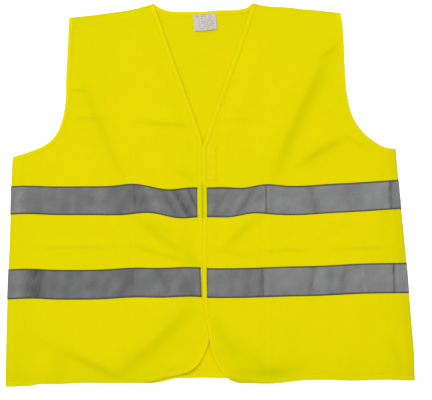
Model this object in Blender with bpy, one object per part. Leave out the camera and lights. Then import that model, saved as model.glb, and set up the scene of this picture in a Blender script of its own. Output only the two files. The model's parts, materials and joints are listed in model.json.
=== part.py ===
"""High visibility vest, lying flat on its back with its two fronts up.

+X runs across the vest, +Y from the hem to the neck and +Z up out of the table. The origin is under
the middle of the vest, on the table. Left means -X and right means +X. The unit is the metre.

The layers lie on each other with a small gap: back bands, back panel, seam allowances and label, front
panels, front bands. Every bound edge is held between the two legs of a folded tape. Each front is one
cloth that is sewn down at its side and its shoulder, so it opens by folding along a line from the neck
point to the hem. The stretch inside that line swings on it, and the stretch outside it stays put.
"""

import math

import bmesh
import bpy
import numpy as np

# Outline of the vest. Widths are half widths, because the vest is cut alike on both sides.
BODY_LENGTH = 0.662
HEM_HALF_WIDTH = 0.357
UNDERARM_HALF_WIDTH = 0.335
SHOULDER_HALF_WIDTH = 0.235
NECK_HALF_WIDTH = 0.088
SHOULDER_DROP = 0.022
ARMHOLE_DEPTH = 0.240
BACK_NECK_DROP = 0.013
FRONT_NECK_DEPTH = 0.246
CORNER_WIDTH = 0.061
CORNER_HEIGHT = 0.080

# Reflective bands.
BAND_WIDTH = 0.050
UNDERARM_TO_BAND = 0.082
BAND_SPACING = 0.146
BAND_SIDE_MARGIN = 0.002

# Edge tape, seam allowances, label and closure patches.
BINDING_WIDTH = 0.007
SEAM_ALLOWANCE = 0.010
SEAM_END_TRIM = 2.0
LABEL_WIDTH = 0.040
LABEL_HEIGHT = 0.031
PATCH_WIDTH = 0.016
PATCH_HEIGHT = 0.060
PATCH_ABOVE_BAND = 0.012

# Thicknesses, and the air between two pieces that lie on each other.
CLOTH = 0.0004
TAPE = 0.0004
BINDING = 0.0004
LABEL_THICKNESS = 0.0003
GAP = 0.0003
CENTRE_GAP = 0.0015

# Fold line of each front, and how high its hinge axis runs above the topmost layer.
FOLD_AT_HEM = 0.180
FOLD_START_DROP = 0.026
FOLD_GAP = 0.0006
HINGE_LIFT = 0.0015
LABEL_HINGE_LIFT = 0.0008

# Points on each kind of curve.
ARMHOLE_STEPS = 20
NECK_STEPS = 14
CORNER_STEPS = 12
BAND_END_STEPS = 4

# Heights of the layers above the table, from the thicknesses.
BACK_LOW = BINDING + GAP
BACK_HIGH = BACK_LOW + CLOTH
BACK_TOP = BACK_HIGH + GAP + BINDING
FRONT_LOW = BACK_TOP + GAP + BINDING + GAP
FRONT_HIGH = FRONT_LOW + CLOTH
FRONT_TOP = FRONT_HIGH + GAP + BINDING

# Places that follow from the outline.
HEM_Y = -BODY_LENGTH / 2
TOP_Y = BODY_LENGTH / 2
SHOULDER_Y = TOP_Y - SHOULDER_DROP
UNDERARM_Y = SHOULDER_Y - ARMHOLE_DEPTH
UPPER_BAND_Y = UNDERARM_Y - UNDERARM_TO_BAND
LOWER_BAND_Y = UPPER_BAND_Y - BAND_SPACING
FRONT_EDGE_X = CENTRE_GAP / 2 + BINDING + GAP
NECK_POINT = (NECK_HALF_WIDTH, TOP_Y)
SHOULDER_POINT = (SHOULDER_HALF_WIDTH, SHOULDER_Y)
UNDERARM_POINT = (UNDERARM_HALF_WIDTH, UNDERARM_Y)
HEM_CORNER = (HEM_HALF_WIDTH, HEM_Y)

# Colour, roughness and metallic value of each finish.
FINISHES = {
    "fluorescent_knit": ((0.78, 0.70, 0.0, 1.0), 0.75, 0.0),
    "edge_tape": ((0.80, 0.73, 0.0, 1.0), 0.6, 0.0),
    "reflective_tape": ((0.20, 0.20, 0.21, 1.0), 0.4, 0.3),
    "label_satin": ((0.80, 0.79, 0.82, 1.0), 0.6, 0.0),
    "loop_tape": ((0.74, 0.66, 0.0, 1.0), 0.9, 0.0),
    "hook_tape": ((0.72, 0.66, 0.02, 1.0), 0.5, 0.0),
}

SIDES = {"left": -1, "right": 1}


def curve(start, first_pull, second_pull, end, steps):
    """Points of a cubic Bezier curve, its two ends included."""
    t = np.linspace(0.0, 1.0, steps + 1)[:, None]
    corners = np.array([start, first_pull, second_pull, end])
    weights = np.hstack([(1 - t) ** 3, 3 * t * (1 - t) ** 2, 3 * t**2 * (1 - t), t**3])
    return weights @ corners


def armhole_curve():
    """Underarm to shoulder on the right side: almost level at first, then straight up."""
    x_pull = SHOULDER_HALF_WIDTH + 0.05 * (UNDERARM_HALF_WIDTH - SHOULDER_HALF_WIDTH)
    flat_pull = (
        UNDERARM_HALF_WIDTH - 0.75 * (UNDERARM_HALF_WIDTH - SHOULDER_HALF_WIDTH),
        UNDERARM_Y + 0.10 * ARMHOLE_DEPTH,
    )
    steep_pull = (x_pull, SHOULDER_Y - 0.80 * ARMHOLE_DEPTH)
    return curve(UNDERARM_POINT, flat_pull, steep_pull, SHOULDER_POINT, ARMHOLE_STEPS)


def back_neck_curve():
    """Right neck point to left neck point: a short dip at each end and a level middle."""
    low = TOP_Y - BACK_NECK_DROP
    steep_pull = (0.88 * NECK_HALF_WIDTH, TOP_Y - 1.05 * BACK_NECK_DROP)
    level_pull = (0.80 * NECK_HALF_WIDTH, low)
    half = curve(NECK_POINT, steep_pull, level_pull, (0.0, low), NECK_STEPS)
    return np.vstack([half, mirrored(half)[1:]])


def front_edge():
    """Right front from the neck point down the V, straight down, round the corner and to the hem."""
    v_bottom = (FRONT_EDGE_X, TOP_Y - FRONT_NECK_DEPTH)
    slope_pull = np.array(NECK_POINT) + 0.5 * (np.array(v_bottom) - np.array(NECK_POINT))
    drop_pull = (FRONT_EDGE_X, TOP_Y - 0.94 * FRONT_NECK_DEPTH)
    v_neck = curve(NECK_POINT, slope_pull, drop_pull, v_bottom, NECK_STEPS)
    angles = np.linspace(0.0, math.pi / 2, CORNER_STEPS + 1)
    corner = np.column_stack(
        [
            FRONT_EDGE_X + CORNER_WIDTH * (1 - np.cos(angles)),
            HEM_Y + CORNER_HEIGHT * (1 - np.sin(angles)),
        ]
    )
    return np.vstack([v_neck, corner])


def mirrored(points):
    """The same outline on the other side of the vest, turned so its cloth stays on its left."""
    return (np.asarray(points) * (-1.0, 1.0))[::-1]


def for_side(points, side):
    return np.asarray(points, float) if side > 0 else mirrored(points)


def fold_x(y):
    """Where the right front's fold line is at a height on the vest."""
    return NECK_HALF_WIDTH + (FOLD_AT_HEM - NECK_HALF_WIDTH) * (TOP_Y - y) / BODY_LENGTH


def side_x(y):
    """Where the right side seam is at a height on the vest."""
    share = (UNDERARM_Y - y) / (UNDERARM_Y - HEM_Y)
    return UNDERARM_HALF_WIDTH + (HEM_HALF_WIDTH - UNDERARM_HALF_WIDTH) * share


def offset(path, distance):
    """The path moved to its left by the distance, with its corners kept sharp."""
    path = np.asarray(path, float)
    runs = np.diff(path, axis=0)
    runs = runs / np.linalg.norm(runs, axis=1)[:, None]
    before = np.vstack([runs[:1], runs])
    after = np.vstack([runs, runs[-1:]])
    middle = before + after
    middle = middle / np.linalg.norm(middle, axis=1)[:, None]
    normal = np.column_stack([-middle[:, 1], middle[:, 0]])
    stretch = (middle * after).sum(axis=1)[:, None]
    return path + normal * distance / stretch


def cut_above(path, y):
    """The part of a falling path that lies below a height, starting exactly at that height."""
    path = np.asarray(path, float)
    start_x = np.interp(-y, -path[:, 1], path[:, 0])
    return np.vstack([[(start_x, y)], path[path[:, 1] < y - 1e-6]])


def finish_material(name):
    material = bpy.data.materials.get(name)
    if material:
        return material
    colour, roughness, metallic = FINISHES[name]
    material = bpy.data.materials.new(name)
    material.use_nodes = True
    shader = material.node_tree.nodes["Principled BSDF"]
    shader.inputs["Base Color"].default_value = colour
    shader.inputs["Roughness"].default_value = roughness
    shader.inputs["Metallic"].default_value = metallic
    return material


def add_object(name, shape, finish, pivot=None):
    """Puts a bmesh into the scene. A moving piece is parented to the empty on its hinge axis."""
    bmesh.ops.recalc_face_normals(shape, faces=shape.faces[:])
    if pivot:
        bmesh.ops.translate(shape, verts=shape.verts[:], vec=-pivot.location)
    mesh = bpy.data.meshes.new(name)
    shape.to_mesh(mesh)
    shape.free()
    mesh.materials.append(finish_material(finish))
    piece = bpy.data.objects.new(name, mesh)
    bpy.context.scene.collection.objects.link(piece)
    if pivot:
        piece.parent = pivot
    return piece


def add_rings(shape, rings):
    """Joins rings of the same number of points into one closed tube with flat ends."""
    rows = [[shape.verts.new(point) for point in ring] for ring in rings]
    count = len(rows[0])
    for near, far in zip(rows, rows[1:]):
        for i in range(count):
            j = (i + 1) % count
            shape.faces.new((near[i], near[j], far[j], far[i]))
    shape.faces.new(rows[0])
    shape.faces.new(rows[-1][::-1])


def plate(name, outline, low, high, finish, pivot=None):
    """A flat piece: its outline at one height, extruded to another."""
    shape = bmesh.new()
    add_rings(shape, [[(x, y, z) for x, y in outline] for z in (low, high)])
    return add_object(name, shape, finish, pivot)


def swept_rings(path, profile):
    """The profile's (distance in from the edge, height) points carried along a flat path."""
    runs = [offset(path, inward) for inward, _ in profile]
    heights = [height for _, height in profile]
    return [
        [(run[i][0], run[i][1], height) for run, height in zip(runs, heights)]
        for i in range(len(path))
    ]


def folded_tape(low, high):
    """Section of a tape folded over an edge: two legs on the cloth and a web outside the edge."""
    web = -(GAP + BINDING)
    return [
        (web, low),
        (BINDING_WIDTH, low),
        (BINDING_WIDTH, low + BINDING),
        (-GAP, low + BINDING),
        (-GAP, high - BINDING),
        (BINDING_WIDTH, high - BINDING),
        (BINDING_WIDTH, high),
        (web, high),
    ]


BACK_TAPE = folded_tape(0.0, BACK_TOP)
FRONT_TAPE = folded_tape(BACK_TOP + GAP, FRONT_TOP)


def bound_edge(name, path, section, pivot=None):
    shape = bmesh.new()
    add_rings(shape, swept_rings(path, section))
    return add_object(name, shape, "edge_tape", pivot)


def seam(name, start, end):
    """The allowance of a seam, turned in between the back and the front along one straight edge.

    It stops short of the tapes at its two ends.
    """
    trim = SEAM_END_TRIM * (BINDING_WIDTH + GAP) * (end - start) / np.linalg.norm(end - start)
    path = [start + trim, end - trim]
    low = BACK_HIGH + GAP
    high = FRONT_LOW - GAP
    section = [(GAP, low), (SEAM_ALLOWANCE, low), (SEAM_ALLOWANCE, high), (GAP, high)]
    shape = bmesh.new()
    add_rings(shape, swept_rings(path, section))
    return add_object(name, shape, "fluorescent_knit")


def armhole_binding(name, side):
    """One loop of tape: it runs along both layers and turns from one to the other at its two ends."""
    path = for_side(armhole_curve(), side)
    loop = bound_edge(name, path, BACK_TAPE)
    web = -(GAP + BINDING)
    low = BACK_TOP - BINDING / 2
    high = BACK_TOP + GAP + BINDING / 2
    turn = [(web, low), (-GAP - BINDING / 4, low), (-GAP - BINDING / 4, high), (web, high)]
    runs = [(path, FRONT_TAPE), (path[:2], turn), (path[-2:], turn)]
    for number, (run, section) in enumerate(runs):
        other = bound_edge(f"{name}_run_{number}", run, section)
        other.hide_render = True
        other.display_type = "WIRE"
        join = loop.modifiers.new(f"join_{number}", "BOOLEAN")
        join.operation = "UNION"
        join.solver = "EXACT"
        join.object = other
    return loop


def band_end(edge_path, low_y, high_y):
    """The end of a band that meets a falling edge, from the band's top down."""
    heights = np.linspace(high_y, low_y, BAND_END_STEPS + 1)
    return np.column_stack([np.interp(-heights, -edge_path[:, 1], edge_path[:, 0]), heights])


def add_pivot(name, x, y, z):
    pivot = bpy.data.objects.new(name, None)
    pivot.location = (x, y, z)
    bpy.context.scene.collection.objects.link(pivot)
    return pivot


def build_back():
    right = np.vstack([armhole_curve(), [NECK_POINT]])
    left = mirrored(right)
    outline = np.vstack([mirrored([HEM_CORNER]), [HEM_CORNER], right, back_neck_curve()[1:-1], left])
    plate("back_panel", outline, BACK_LOW, BACK_HIGH, "fluorescent_knit")
    bound_edge("back_neck_binding", back_neck_curve(), BACK_TAPE)
    bound_edge("back_hem_binding", [(-HEM_HALF_WIDTH, HEM_Y), HEM_CORNER], BACK_TAPE)
    for name, centre in (("upper_band_back", UPPER_BAND_Y), ("lower_band_back", LOWER_BAND_Y)):
        low_y = centre - BAND_WIDTH / 2
        high_y = centre + BAND_WIDTH / 2
        end = [(side_x(y) - BAND_SIDE_MARGIN, y) for y in (low_y, high_y)]
        plate(name, np.vstack([end, mirrored(end)]), 0.0, TAPE, "reflective_tape")


def build_label():
    top = TOP_Y - BACK_NECK_DROP - BINDING_WIDTH - GAP
    low = BACK_HIGH + GAP
    high = low + LABEL_THICKNESS
    pivot = add_pivot("label_axis", 0.0, top, BACK_TOP + LABEL_HINGE_LIFT)
    half = LABEL_WIDTH / 2
    outline = [(-half, top), (-half, top - LABEL_HEIGHT), (half, top - LABEL_HEIGHT), (half, top)]
    plate("neck_label", outline, low, high, "label_satin", pivot)


def build_front(side_name, side):
    """One front: the stretch that is sewn down, and the stretch that folds open, on its pivot."""
    start_y = TOP_Y - FOLD_START_DROP
    edge = front_edge()
    hinge_z = FRONT_TOP + HINGE_LIFT
    pivot = add_pivot(f"{side_name}_fold_axis", side * NECK_HALF_WIDTH, TOP_Y, hinge_z)

    above_start = edge[edge[:, 1] > start_y + FOLD_GAP]
    step_y = start_y + FOLD_GAP
    step_x = np.interp(-step_y, -edge[:, 1], edge[:, 0])
    outside = FOLD_GAP / 2
    fixed = np.vstack(
        [
            above_start,
            [(step_x, step_y), (fold_x(step_y) + outside, step_y)],
            [(fold_x(HEM_Y) + outside, HEM_Y), HEM_CORNER],
            armhole_curve(),
        ]
    )
    side_panel = f"{side_name}_side_panel"
    plate(side_panel, for_side(fixed, side), FRONT_LOW, FRONT_HIGH, "fluorescent_knit")

    opening = cut_above(edge, start_y)
    swinging = np.vstack(
        [opening, [(fold_x(HEM_Y) - outside, HEM_Y), (fold_x(start_y) - outside, start_y)]]
    )
    front_panel = f"{side_name}_front_panel"
    outline = for_side(swinging, side)
    plate(front_panel, outline, FRONT_LOW, FRONT_HIGH, "fluorescent_knit", pivot)

    hem_end = (fold_x(HEM_Y + BINDING_WIDTH) - outside, HEM_Y)
    tape_path = for_side(np.vstack([opening, [hem_end]]), side)
    bound_edge(f"{side_name}_front_binding", tape_path, FRONT_TAPE, pivot)
    hem_path = for_side([(fold_x(HEM_Y) + outside, HEM_Y), HEM_CORNER], side)
    bound_edge(f"{side_name}_side_hem_binding", hem_path, FRONT_TAPE)
    armhole_binding(f"{side_name}_armhole_binding", side)

    clear = BINDING_WIDTH + GAP
    seam(f"{side_name}_side_seam", *for_side([HEM_CORNER, UNDERARM_POINT], side))
    seam(f"{side_name}_shoulder_seam", *for_side([SHOULDER_POINT, NECK_POINT], side))

    tape_inner_edge = offset(opening, clear)
    for band_name, centre in (("upper", UPPER_BAND_Y), ("lower", LOWER_BAND_Y)):
        low_y = centre - BAND_WIDTH / 2
        high_y = centre + BAND_WIDTH / 2
        low, high = FRONT_HIGH + GAP, FRONT_HIGH + GAP + TAPE
        inner = band_end(tape_inner_edge, low_y, high_y)
        fold_side = [(fold_x(y) - outside, y) for y in (low_y, high_y)]
        outline = for_side(np.vstack([inner, fold_side]), side)
        name = f"{band_name}_band_{side_name}_front"
        plate(name, outline, low, high, "reflective_tape", pivot)
        fold_side = [(fold_x(y) + outside, y) for y in (high_y, low_y)]
        outer = [(side_x(y) - BAND_SIDE_MARGIN, y) for y in (low_y, high_y)]
        outline = for_side(np.vstack([fold_side, outer]), side)
        name = f"{band_name}_band_{side_name}_side"
        plate(name, outline, low, high, "reflective_tape")
    return pivot


def build_patch(name, side, low, finish, pivot):
    """One half of the closure, a sewn rectangle beside the front edge above the upper band."""
    bottom = UPPER_BAND_Y + BAND_WIDTH / 2 + PATCH_ABOVE_BAND
    top = bottom + PATCH_HEIGHT
    inner = band_end(offset(front_edge(), BINDING_WIDTH + GAP), bottom, top)[:, 0].max()
    outer = inner + PATCH_WIDTH
    outline = [(inner, top), (inner, bottom), (outer, bottom), (outer, top)]
    plate(name, for_side(outline, side), low, low + TAPE, finish, pivot)


def build_vest():
    for item in list(bpy.data.objects):
        bpy.data.objects.remove(item, do_unlink=True)
    build_back()
    build_label()
    pivots = {name: build_front(name, side) for name, side in SIDES.items()}
    build_patch("hook_patch", SIDES["left"], FRONT_LOW - GAP - TAPE, "hook_tape", pivots["left"])
    build_patch("loop_patch", SIDES["right"], FRONT_HIGH + GAP, "loop_tape", pivots["right"])


build_vest()
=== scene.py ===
# %% [markdown]
# # High visibility vest, laid out flat
# The vest is sewn from thin fluorescent knit, with grey reflective tape round the body, folded tape
# on every raw edge, and a small sewn-in label. It lies on its back with its fronts up.
# This notebook loads the plain solids first, because every later piece takes its place from them.

# %% Load the frame
import json
import math

import bpy
import numpy as np
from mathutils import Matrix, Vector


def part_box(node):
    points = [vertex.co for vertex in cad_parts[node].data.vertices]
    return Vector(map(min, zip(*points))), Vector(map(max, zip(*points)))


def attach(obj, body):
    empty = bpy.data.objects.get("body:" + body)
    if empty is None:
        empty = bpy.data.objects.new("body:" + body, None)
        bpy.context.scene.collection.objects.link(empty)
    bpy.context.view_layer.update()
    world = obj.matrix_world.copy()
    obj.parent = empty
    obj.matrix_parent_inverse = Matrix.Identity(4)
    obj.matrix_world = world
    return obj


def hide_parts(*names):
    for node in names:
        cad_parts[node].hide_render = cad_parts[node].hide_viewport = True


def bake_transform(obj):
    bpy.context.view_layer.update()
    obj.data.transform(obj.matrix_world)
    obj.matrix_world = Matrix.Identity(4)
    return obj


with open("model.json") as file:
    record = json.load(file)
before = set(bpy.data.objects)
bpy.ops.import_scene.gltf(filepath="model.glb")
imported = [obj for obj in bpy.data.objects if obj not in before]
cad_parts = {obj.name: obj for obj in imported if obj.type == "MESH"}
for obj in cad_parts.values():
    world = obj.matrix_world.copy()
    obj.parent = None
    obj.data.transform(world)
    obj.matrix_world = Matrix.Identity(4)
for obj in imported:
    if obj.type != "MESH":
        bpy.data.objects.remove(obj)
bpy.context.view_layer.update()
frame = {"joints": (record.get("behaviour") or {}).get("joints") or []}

# %% [markdown]
# ## The cutting pattern
# A garment starts as a flat pattern, so the outline comes first: where the hem, the side seam, the
# armhole, the shoulder, the neck and the front edge run. The overall sizes are read from the plain
# solids, and the curves repeat the ones those solids were cut to, so that both agree.

# %% Pattern sizes
joints = {joint["name"]: joint for joint in frame["joints"]}
panel_low, panel_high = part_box("back_panel")
HEM_Y, TOP_Y = float(panel_low[1]), float(panel_high[1])
HEM_X = float(panel_high[0])
NECK_X = float(joints["right_front_fold"]["pos_m"][0])
SHOULDER_X, UNDERARM_X = 0.235, 0.335
SHOULDER_Y = TOP_Y - 0.022
UNDERARM_Y = SHOULDER_Y - 0.240
NECK_DIP, V_DEPTH = 0.013, 0.246
CORNER_X, CORNER_Y = 0.061, 0.080
FRONT_X = float(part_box("right_front_panel")[0][0])
TAPE_WIDTH = 0.007
SIDES = {"left": -1, "right": 1}
print(f"hem {2 * HEM_X:.3f} m wide, vest {TOP_Y - HEM_Y:.3f} m long")


# %% Curves of the pattern
def bezier(points, count):
    """Cubic Bezier: the four points weighted by the Bernstein polynomials of t from 0 to 1."""
    t = np.linspace(0, 1, count)[:, None]
    share = np.hstack([(1 - t) ** 3, 3 * t * (1 - t) ** 2, 3 * t**2 * (1 - t), t**3])
    return share @ np.array(points, float)


width_step = UNDERARM_X - SHOULDER_X
arm_depth = SHOULDER_Y - UNDERARM_Y
ARMHOLE = bezier(
    [
        (UNDERARM_X, UNDERARM_Y),
        (UNDERARM_X - 0.75 * width_step, UNDERARM_Y + 0.10 * arm_depth),
        (SHOULDER_X + 0.05 * width_step, SHOULDER_Y - 0.80 * arm_depth),
        (SHOULDER_X, SHOULDER_Y),
    ],
    90,
)
V_NECK = bezier(
    [
        (NECK_X, TOP_Y),
        ((NECK_X + FRONT_X) / 2, TOP_Y - V_DEPTH / 2),
        (FRONT_X, TOP_Y - 0.94 * V_DEPTH),
        (FRONT_X, TOP_Y - V_DEPTH),
    ],
    90,
)
BACK_NECK = bezier(
    [
        (NECK_X, TOP_Y),
        (0.88 * NECK_X, TOP_Y - 1.05 * NECK_DIP),
        (0.80 * NECK_X, TOP_Y - NECK_DIP),
        (0, TOP_Y - NECK_DIP),
    ],
    60,
)


def front_x(y):
    """Front edge: a quarter ellipse at the hem corner, then straight up, then out along the V."""
    rise = np.clip((y - HEM_Y) / CORNER_Y, 0, 1)
    corner = CORNER_X * (1 - np.sqrt(np.clip(1 - (1 - rise) ** 2, 0, 1)))
    v_neck = np.interp(y, V_NECK[::-1, 1], V_NECK[::-1, 0])
    return np.where(y > TOP_Y - V_DEPTH, v_neck, FRONT_X + corner)


def outer_x(y):
    """Outer edge: the side seam's straight line below the underarm and the armhole curve above it."""
    side = UNDERARM_X + (HEM_X - UNDERARM_X) * (UNDERARM_Y - y) / (UNDERARM_Y - HEM_Y)
    return np.where(y < UNDERARM_Y, side, np.interp(y, ARMHOLE[:, 1], ARMHOLE[:, 0]))


def shoulder_line(away):
    """Height of the shoulder seam, a straight line, at a distance from the middle."""
    return SHOULDER_Y + (SHOULDER_X - away) * (TOP_Y - SHOULDER_Y) / (SHOULDER_X - NECK_X)


def smooth(t):
    """Smoothstep: 0 below 0, 1 above 1, and 3t^2 - 2t^3 between them."""
    t = np.clip(t, 0, 1)
    return t * t * (3 - 2 * t)


print(f"armhole {arm_depth * 1000:.0f} mm deep, V neck {V_DEPTH * 1000:.0f} mm deep")

# %% [markdown]
# ## How the vest lies
# A vest out of its packet keeps the packet's folds, and the hands that spread it out pull it a
# little askew. Simulating that gives a different vest each time a setting changes. So the lay is
# written down once, as one function that every layer, band and stitch goes through: first the
# pull in the plane, then the height of the folds. Pieces that are sewn together then stay together.

# %% Pull in the plane
BAND_Y = {
    "upper": float(np.mean([corner[1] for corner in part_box("upper_band_back")])),
    "lower": float(np.mean([corner[1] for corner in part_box("lower_band_back")])),
}
# Places where a band was tugged up or down: band, x, reach across, amount, lean of the tug.
TUGS = [
    ("upper", -0.315, 0.045, 0.0039, 0.0),
    ("upper", -0.210, 0.070, 0.0017, 0.0),
    ("upper", -0.112, 0.032, 0.0066, -0.45),
    ("upper", -0.050, 0.030, -0.0058, -0.45),
    ("upper", 0.008, 0.025, -0.0018, 0.0),
    ("upper", 0.055, 0.026, -0.0044, 0.45),
    ("upper", 0.100, 0.026, 0.0035, 0.45),
    ("upper", 0.165, 0.050, -0.0043, 0.0),
    ("upper", 0.255, 0.060, -0.0023, 0.0),
    ("lower", -0.315, 0.035, 0.0032, 0.0),
    ("lower", -0.120, 0.050, 0.0051, 0.0),
    ("lower", -0.030, 0.045, 0.0065, 0.0),
    ("lower", 0.045, 0.045, 0.0021, 0.0),
    ("lower", 0.130, 0.060, 0.0028, 0.0),
    ("lower", 0.270, 0.080, 0.0038, 0.0),
]
TUG_HEIGHT = 0.050
# Places where the top line or the hem was tugged up or down: edge, x, reach, amount.
EDGE_TUGS = [
    ("top", -0.130, 0.026, -0.0022),
    ("top", -0.079, 0.013, 0.0032),
    ("top", 0.050, 0.026, -0.0016),
    ("top", 0.112, 0.028, -0.0043),
    ("top", 0.165, 0.030, -0.0016),
    ("hem", -0.155, 0.030, 0.0015),
    ("hem", -0.058, 0.024, 0.0034),
    ("hem", 0.102, 0.026, -0.0024),
    ("hem", 0.160, 0.028, 0.0024),
    ("hem", 0.200, 0.070, 0.0028),
]
# Places where the cloth was tugged sideways: x, y, reach across, reach up, amount.
SIDE_TUGS = [
    (0.245, 0.250, 0.050, 0.080, 0.0045),
    (0.235, 0.322, 0.050, 0.022, -0.0030),
    (NECK_X, TOP_Y, 0.022, 0.045, -0.0030),
    (-0.255, 0.158, 0.045, 0.038, 0.0054),
    (HEM_X, HEM_Y, 0.050, 0.030, -0.0028),
]


def bump(x, y, at_x, at_y, reach_x, reach_y):
    """A soft hill: exp(-(x / reach)^2 - (y / reach)^2), 1 at its middle."""
    return np.exp(-(((x - at_x) / reach_x) ** 2) - ((y - at_y) / reach_y) ** 2)


# How far each front's free edge swings sideways: height, the right front's shift, the left one's.
V_FOOT = TOP_Y - V_DEPTH
SWINGS = [
    (HEM_Y, 0.0010, 0.0000),
    (HEM_Y + 0.020, 0.0050, 0.0000),
    (HEM_Y + 0.052, 0.0065, 0.0025),
    (HEM_Y + 0.070, 0.0052, 0.0060),
    (HEM_Y + 0.085, 0.0043, 0.0070),
    (HEM_Y + 0.102, 0.0018, 0.0062),
    (HEM_Y + 0.117, -0.0020, 0.0045),
    (HEM_Y + 0.148, -0.0053, 0.0020),
    (BAND_Y["lower"], -0.0055, 0.0014),
    (BAND_Y["upper"] - 0.027, -0.0030, -0.0012),
    (BAND_Y["upper"] + 0.025, -0.0030, -0.0012),
    (BAND_Y["upper"] + 0.045, -0.0034, -0.0008),
    (V_FOOT - 0.010, -0.0036, -0.0006),
    (V_FOOT + 0.015, 0.0, 0.0),
]


def swing(y, side):
    """A free edge's sideways shift at each height, read between the rows of the table."""
    heights, right, left = np.array(SWINGS).T
    return np.interp(y, heights, right if side > 0 else left)


HEM_SLIDE, SHOULDER_SLIDE, RIDE_UP, SAG = 0.0105, 0.0035, 0.0125, 0.0055
KNEE_IN, KNEE_DOWN, UNDERARM_DOWN = 0.0090, 0.0055, 0.0060
BACK_HEM_UP, CORNER_UP = 0.0090, 0.0115


def pulled(x, y, layer):
    """The plane's shift: the hem slides to the right, the right side rides up, and local tugs."""
    down = np.clip((UNDERARM_Y - y) / (UNDERARM_Y - HEM_Y), 0, 1)
    up = np.clip((y - UNDERARM_Y) / arm_depth, 0, 1)
    shift_x = HEM_SLIDE * down**1.4 * (0.55 + 0.45 * np.abs(x) / HEM_X)
    shift_x = shift_x + SHOULDER_SLIDE * up * smooth((x - 0.03) / 0.15)
    right, left = np.clip(x / UNDERARM_X, 0, 1.1), np.clip(-x / UNDERARM_X, 0, 1.1)
    ride_up = right**1.3 * (RIDE_UP - 0.0065 * down**2 - 0.0065 * up)
    sag = -SAG * left**2 * np.exp(-(((y - UNDERARM_Y) / 0.05) ** 2))
    sag = sag - 0.0045 * smooth((-x - 0.290) / 0.030) * down**4
    shift_y = ride_up + sag
    for band, at_x, reach, amount, lean in TUGS:
        leant = x - lean * (y - BAND_Y[band])
        shift_y = shift_y + amount * bump(leant, y, at_x, BAND_Y[band], reach, TUG_HEIGHT)
    stretched = (y - BAND_Y["lower"]) / 0.025
    shift_y = shift_y + 0.0008 * stretched * np.exp(-((stretched / 1.6) ** 2))
    hem = np.exp(-(((y - HEM_Y) / 0.04) ** 2))
    shift_y = shift_y + hem * (0.0006 * np.sin(x * 26 + 0.6) + 0.0008 * np.sin(x * 61 + 2.0))
    # The sides: the left armhole is drawn in, the right side seam and shoulder are spread out.
    knee = bump(x, y, -0.268, 0.105, 0.045, 0.045)
    shift_x = shift_x + KNEE_IN * knee + 0.0018 * left * np.exp(-(((down - 0.3) / 0.3) ** 2))
    shift_x = shift_x + right**2 * (0.0032 * smooth(down / 0.5) + 0.0012 * (1 - up))
    for at_x, at_y, reach_x, reach_y, amount in SIDE_TUGS:
        shift_x = shift_x + amount * bump(x, y, at_x, at_y, reach_x, reach_y)
    shift_y = shift_y - KNEE_DOWN * knee - UNDERARM_DOWN * bump(x, y, 0.315, 0.075, 0.028, 0.035)
    shift_y = shift_y + up**2 * (0.0036 * smooth((x + 0.01) / 0.05) - 0.0030 * bump(x, 0, -0.18, 0, 0.05, 1))
    for edge, at_x, reach, amount in EDGE_TUGS:
        at_edge = up**4 if edge == "top" else hem
        shift_y = shift_y + amount * at_edge * np.exp(-(((x - at_x) / reach) ** 2))
    if layer == "back":
        return x + shift_x, y + shift_y + BACK_HEM_UP * hem * np.exp(-((x / 0.075) ** 4))
    # Each front also swings about its own edge, and the left one's corner is turned up.
    near = np.exp(-((x / 0.055) ** 2))
    shift_x = shift_x + near * np.where(x > 0, swing(y, 1), swing(y, -1))
    corner = bump(x, y, -0.052, HEM_Y + 0.006, 0.040, 0.034) * (x < 0)
    return x + shift_x, y + shift_y + CORNER_UP * corner


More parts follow.
